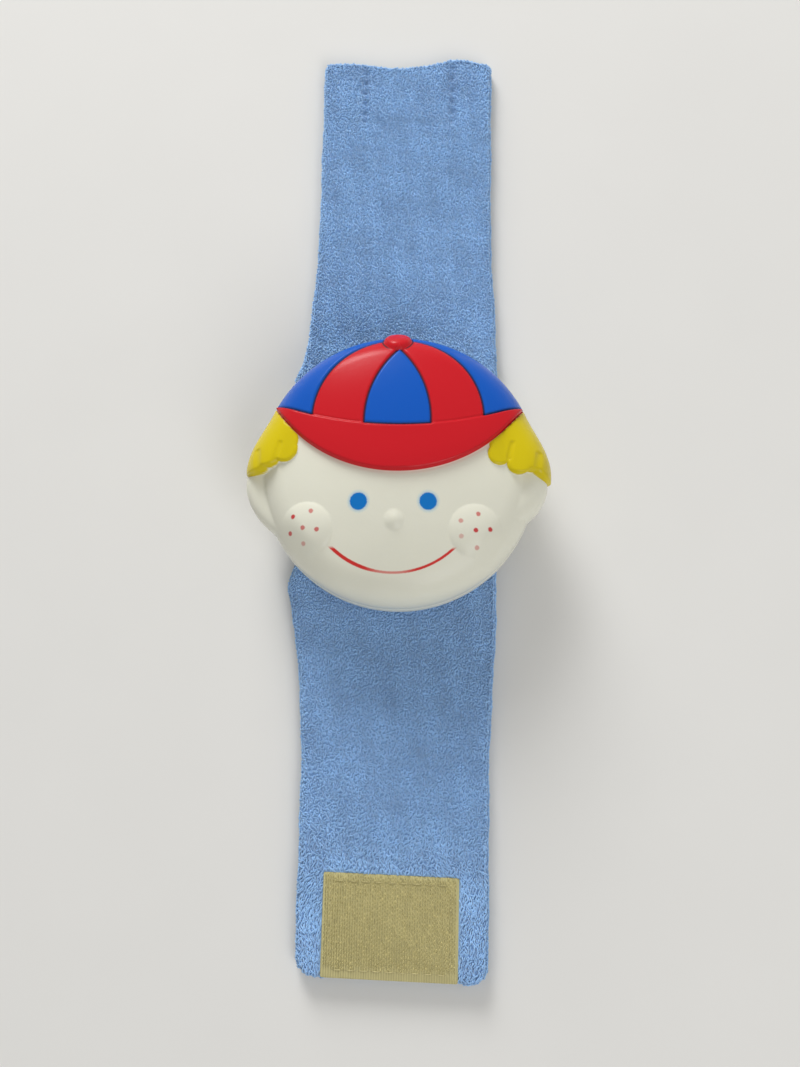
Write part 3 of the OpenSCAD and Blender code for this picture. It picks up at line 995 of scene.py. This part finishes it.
# Hook patch: a cut of beige hook tape sewn on the front of the lower end, a little out of square.
# Its nylon hooks stand in fine rows along the strap, and a plain selvage runs along its outer edge.
hook_low, hook_high = (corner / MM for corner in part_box("hook_patch"))
hook_base_t = 0.55
hook_pitch = (0.47, 0.74)
hook_r = (0.1, 0.9, 1.2)
hook_length = (0.66, 0.85, 1.15)
hook_rise = (0.36, 0.8, 1.1)
hook_lie = 0.16
hook_shade = 0.16
hook_inset = (0.45, 0.3)
hook_end = 0.4
hook_corner = 0.4
tape_ease = 0.12
slab_shade = 0.4
selvage = 2.2
tape_beige = (205, 195, 140)
tape_random = np.random.default_rng(5)


def tape_slab(low, high, corner):
    """A flat cut of tape with slightly round corners and eased edges."""
    plan = []
    for turn, (x, y) in enumerate(((high.x, high.y), (low.x, high.y), (low.x, low.y), (high.x, low.y))):
        side_x, side_y = (1 if x > 0 else -1), (1 if y == high.y else -1)
        plan += arc(x - side_x * corner, y - side_y * corner, corner, 90 * turn, 90 * turn + 90, 4)
    plan = np.array(plan)
    middle = plan.mean(0)
    half = (plan.max(0) - plan.min(0)) / 2
    points = []
    heights = (low.z, low.z + tape_ease, high.z - tape_ease, high.z)
    for inset, z in zip((tape_ease, 0, 0, tape_ease), heights):
        scaled = middle + (plan - middle) * (1 - inset / half)
        points.append(np.column_stack([scaled, np.full(len(plan), z)]))
    number = np.arange(4 * len(plan)).reshape(4, -1)
    after = np.roll(number, -1, 1)
    faces = np.stack([number[:-1], after[:-1], after[1:], number[1:]], 2).reshape(-1, 4).tolist()
    faces += [tuple(number[0, ::-1]), tuple(number[-1])]
    return np.concatenate(points), faces


def tape_finish(name, tint, pitch):
    """Woven nylon tape: fine ribs along the tape's warp and a slight unevenness of shade."""
    material, start = new_material(name)
    rest = kept(start, "rest")
    bands = {"wave_type": "BANDS", "bands_direction": "X", "wave_profile": "SIN"}
    weave = {"Vector": rest, "Scale": math.pi / 10 / pitch, "Distortion": 0.4}
    rib = start.add("ShaderNodeTexWave", bands, weave)
    patch = noise(start, rest, 0.9)
    pale = kept(start, "shade", "Fac") + 0.25 * rib + 0.3 * patch - 0.25
    surface = {
        "Base Color": mixed(pale, tinted(tint, 0.8), tinted(tint, 1.1)),
        "Roughness": 0.72 + 0.15 * patch,
        "Normal": bumped(start, rib, 0.06),
        "Specular IOR Level": 0.3,
        "Sheen Weight": 0.1,
    }
    return finished(material, start, surface)


def hook_roots():
    """Roots of the hooks, in columns along the strap and clear of the selvage."""
    columns = np.arange(hook_low.x + hook_inset[0], hook_high.x - hook_inset[1], hook_pitch[0])
    rows = np.arange(hook_low.y + selvage, hook_high.y - hook_end, hook_pitch[1])
    x, y = crossed(columns, rows)
    y = y + np.tile(tape_random.uniform(-0.4, 0.4, len(columns)), len(rows)) * hook_pitch[1]
    x = x + tape_random.normal(0, 0.025, len(x))
    y = y + tape_random.normal(0, 0.05, len(y))
    return np.stack([x, y, np.full(len(x), hook_low.z + hook_base_t)], 1)


def out_of_square(points):
    """Points of the hook patch, whose cut ends lean a little more than its woven edges."""
    middle = (hook_low + hook_high) / 2
    x, y, z = (points - middle).T
    skewed = np.stack([x - math.tan(hook_lean) * y, y + math.tan(hook_turn) * x, z], 1)
    return skewed + middle + (hook_shift, 0, 0)


def brushed(roots, turns, up, uneven, *sizes):
    """Short nylon arches on a tape and how pale each point is. Each size has its least and greatest share."""
    count = len(roots)
    upward = np.tile((0.0, 0.0, up), (count, 1))
    varied = [size * tape_random.uniform(low, high, count) for size, low, high in sizes]
    points, faces, flat_map = yarn_arches(roots, lying(turns), upward, *varied)
    shade = 0.6 + uneven * tape_random.normal(0, 1, count)
    return points, faces, flat_map, np.repeat(shade, len(points) // count)


def tape_piece(name, points, faces, flat_map, shade, finish, body, *nodes):
    """A piece of one of the patches, with how pale it is, all over or at each point."""
    shade = np.broadcast_to(shade, len(points))
    piece = piece_of(name, points, faces, finish, 45, flat_map, rest=points, shade=shade)
    fixed(piece, body, "tape", *nodes)


hook_finish = tape_finish("hook_nylon", tape_beige, hook_pitch[0])
slab_top = Vector((*hook_high.xy, hook_low.z + hook_base_t))
slab, slab_faces = tape_slab(hook_low, slab_top, hook_corner)
slab = out_of_square(slab)
tape_piece("hook_tape", slab, slab_faces, None, slab_shade, hook_finish, "strap_lower_5", "hook_patch")
roots = hook_roots()
turns = tape_random.normal(0, hook_lie, len(roots))
hooks, *hook_rest = brushed(roots, turns, 1.0, hook_shade, hook_length, hook_rise, hook_r)
tape_piece("hook_rows", out_of_square(hooks), *hook_rest, hook_finish, "strap_lower_5")

# Loop patch: the mate of the hook tape, sewn under the upper end, with a nap of fine brushed loops.
# The hooks catch in this nap when the strap is closed round a wrist.
loop_low, loop_high = (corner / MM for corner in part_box("loop_patch"))
loop_corner = 0.5
nap_pitch = 0.5
nap_inset = (0.4, 0.3)
nap_h = 0.3
nap_length = (0.8, 0.8, 1.3)
nap_rise = (nap_h, 0.5, 0.7)
nap_r = (0.07, 0.8, 1.2)
nap_stray = 0.1
nap_shade = 0.15
loop_finish = tape_finish("loop_nylon", tape_beige, nap_pitch)
slab_foot = Vector((*loop_low.xy, loop_low.z + nap_h))
slab, slab_faces = tape_slab(slab_foot, loop_high, loop_corner)
tape_piece("loop_tape", slab, slab_faces, None, slab_shade, loop_finish, "strap_upper_5", "loop_patch")
nap_columns = np.arange(loop_low.x + nap_inset[0], loop_high.x - nap_inset[1], nap_pitch)
nap_rows = np.arange(loop_low.y + nap_inset[0], loop_high.y - nap_inset[1], nap_pitch)
nap_x, nap_y = (side + tape_random.normal(0, nap_stray, len(side)) for side in crossed(nap_columns, nap_rows))
turns = tape_random.uniform(0, 2 * math.pi, len(nap_x))
roots = np.stack([nap_x, nap_y, np.full(len(nap_x), slab_foot.z)], 1)
nap = brushed(roots, turns, -1.0, nap_shade, nap_length, nap_rise, nap_r)
tape_piece("loop_nap", *nap, loop_finish, "strap_upper_5")

# Stitching: polyester thread round each patch, with long stitches sunk in the tape.
# Those of the loop patch come through to the front, where they lie deep in the pile.
thread_r = 0.13
stitch_length = 2.0
stitch_rise = 0.1
stitch_inset = 1.5
stitch_clear = 0.02
front_sunk = 0.6
thread_tan = (224, 213, 156)
thread_blue = (118, 148, 196)


def stitch_ring(low, high, z, sign):
    """Stitches round a patch, each a long low arch of thread."""
    half = Vector(((high.x - low.x) / 2 - stitch_inset, (high.y - low.y) / 2 - stitch_inset))
    middle = (low + high) / 2
    places, ways = [], []
    for length, offset, way in ((half.x, half.y, (1.0, 0.0, 0.0)), (half.y, half.x, (0.0, 1.0, 0.0))):
        steps = math.floor(2 * length / stitch_pitch)
        for side in (-1, 1):
            for n in range(steps):
                run = (n - (steps - 1) / 2) * stitch_pitch
                x, y = (run, side * offset) if way[0] else (side * offset, run)
                places.append((middle.x + x, middle.y + y, z))
                ways.append(way)
    full = np.ones(len(places))
    upward = np.tile((0.0, 0.0, sign), (len(places), 1))
    length, rise, r = stitch_length * full, stitch_rise * full, thread_r * full
    return yarn_arches(np.array(places), np.array(ways), upward, length, rise, r)[:2]


def thread_finish(name, tint):
    """Twisted polyester thread with a slight gloss."""
    material, start = new_material(name)
    where = start.add("ShaderNodeTexCoord", {}, {}, "Object")
    twist = noise(start, where, 2600.0)
    surface = {
        "Base Color": mixed(twist, tinted(tint, 0.86), tinted(tint)),
        "Roughness": 0.5 + 0.2 * twist,
        "Normal": bumped(start, twist, 0.06),
        "Sheen Weight": 0.1,
    }
    return finished(material, start, surface)


tan_points, tan_faces = stitch_ring(hook_low, hook_high, slab_top.z + stitch_clear, 1.0)
tan_thread = thread_finish("tan_thread", thread_tan)
hook_thread = piece_of("hook_thread", out_of_square(tan_points), tan_faces, tan_thread)
fixed(hook_thread, "strap_lower_5", "thread", "hook_stitching")
front_z = strap_t / 2 + ground_t / 2 - stitch_dent * front_sunk
front_stitches = stitch_ring(loop_low, loop_high, front_z, 1.0)
back_stitches = stitch_ring(loop_low, loop_high, slab_foot.z, -1.0)
blue_thread = thread_finish("blue_thread", thread_blue)
loop_thread = piece_of("loop_thread", *together(front_stitches, back_stitches), blue_thread)
fixed(loop_thread, "strap_upper_5", "thread", "loop_stitching")

# Studio: a pale floor that keeps the shadow, fades out with distance and opens over what lies below it.
# Soft light comes from beyond the cap, only part of it mirrored in the gloss, with a weaker lamp opposite.
# The camera stands where the photograph was taken, a little towards the lower end of the strap.
floor_grey = (226, 225, 222)
floor_half = 0.32
room_strength = 0.45
window_place = (-0.24, 0.82, 0.38)
lamp_place = (0.38, -0.62, 0.62)
floor_drop = 0.02
strap_drop = 45.0
camera_mm = (9.8, -67.8, 255.6)
camera_turn = (12.87, 2.13, 0.58)
focal_px = 1300.0
image_h = 1067.0
sensor = 36.0


def soft_light(name, place, size, power, mirrored=True):
    """A square lamp aimed at the rattle, which shiny surfaces may or may not mirror."""
    light = bpy.data.lights.new(name, "AREA")
    light.size = size
    light.energy = power
    lamp = bpy.data.objects.new(name, light)
    lamp.location = place
    lamp.rotation_euler = (-Vector(place)).to_track_quat("-Z", "Y").to_euler()
    lamp.visible_glossy = mirrored
    bpy.context.scene.collection.objects.link(lamp)


floor_material, start = new_material("pale_floor")
where = start.add("ShaderNodeTexCoord", {}, {}, "Object")
grain = noise(start, where, 40.0)
paint = mixed(grain, tinted(floor_grey, 0.985), tinted(floor_grey))
matt = {"Base Color": paint, "Roughness": 0.9, "Specular IOR Level": 0.0}
matt = start.add("ShaderNodeBsdfPrincipled", {}, matt, "BSDF")
clear = start.add("ShaderNodeBsdfTransparent", {}, {})
below = {"inside": True, "samples": 8}
free = start.add("ShaderNodeAmbientOcclusion", below, {"Distance": strap_drop * MM}, "AO")
far = start.add("ShaderNodeVectorMath", {"operation": "LENGTH"}, {0: where}, "Value")
shown = ramp(free, 0.75, 0.95) * ramp(far, floor_half, floor_half / 2)
surface = start.add("ShaderNodeMixShader", {}, {0: shown, 1: clear, 2: matt})
start.add("ShaderNodeOutputMaterial", {}, {"Surface": surface})
corners = [(-1, -1, 0), (1, -1, 0), (1, 1, 0), (-1, 1, 0)]
floor_points = np.array(corners) * floor_half / MM - (0, 0, floor_drop)
floor = piece_of("floor", floor_points, [(0, 1, 2, 3)], floor_material)
floor.visible_shadow = False
soft_light("window", window_place, 0.25, 2.6)
soft_light("window_haze", window_place, 0.5, 6.2, mirrored=False)
soft_light("room", lamp_place, 0.6, 3.8)
world, start = blank(bpy.data.worlds.new("room"))
rays = ("Camera", "Glossy", "Transmission")
seen = [start.add("ShaderNodeLightPath", {}, {}, f"Is {ray} Ray") for ray in rays]
strength = room_strength + (1 - room_strength) * most(*seen)
sky = start.add("ShaderNodeBackground", {}, {"Color": tinted(floor_grey), "Strength": strength})
start.add("ShaderNodeOutputWorld", {}, {"Surface": sky})
bpy.context.scene.world = world
camera_data = bpy.data.cameras.new("camera")
camera_data.sensor_width = sensor
camera_data.lens = focal_px * sensor / image_h
camera_data.clip_start = 0.01
camera = bpy.data.objects.new("camera", camera_data)
tilt = Matrix.Identity(3)
for degrees, axis in zip(camera_turn, "XYZ"):
    tilt = tilt @ Matrix.Rotation(math.radians(degrees), 3, axis)
camera.matrix_world = Matrix.Translation(Vector(camera_mm) * MM) @ tilt.to_4x4()
bpy.context.scene.collection.objects.link(camera)
bpy.context.scene.camera = camera
bpy.context.scene.view_settings.view_transform = "Standard"
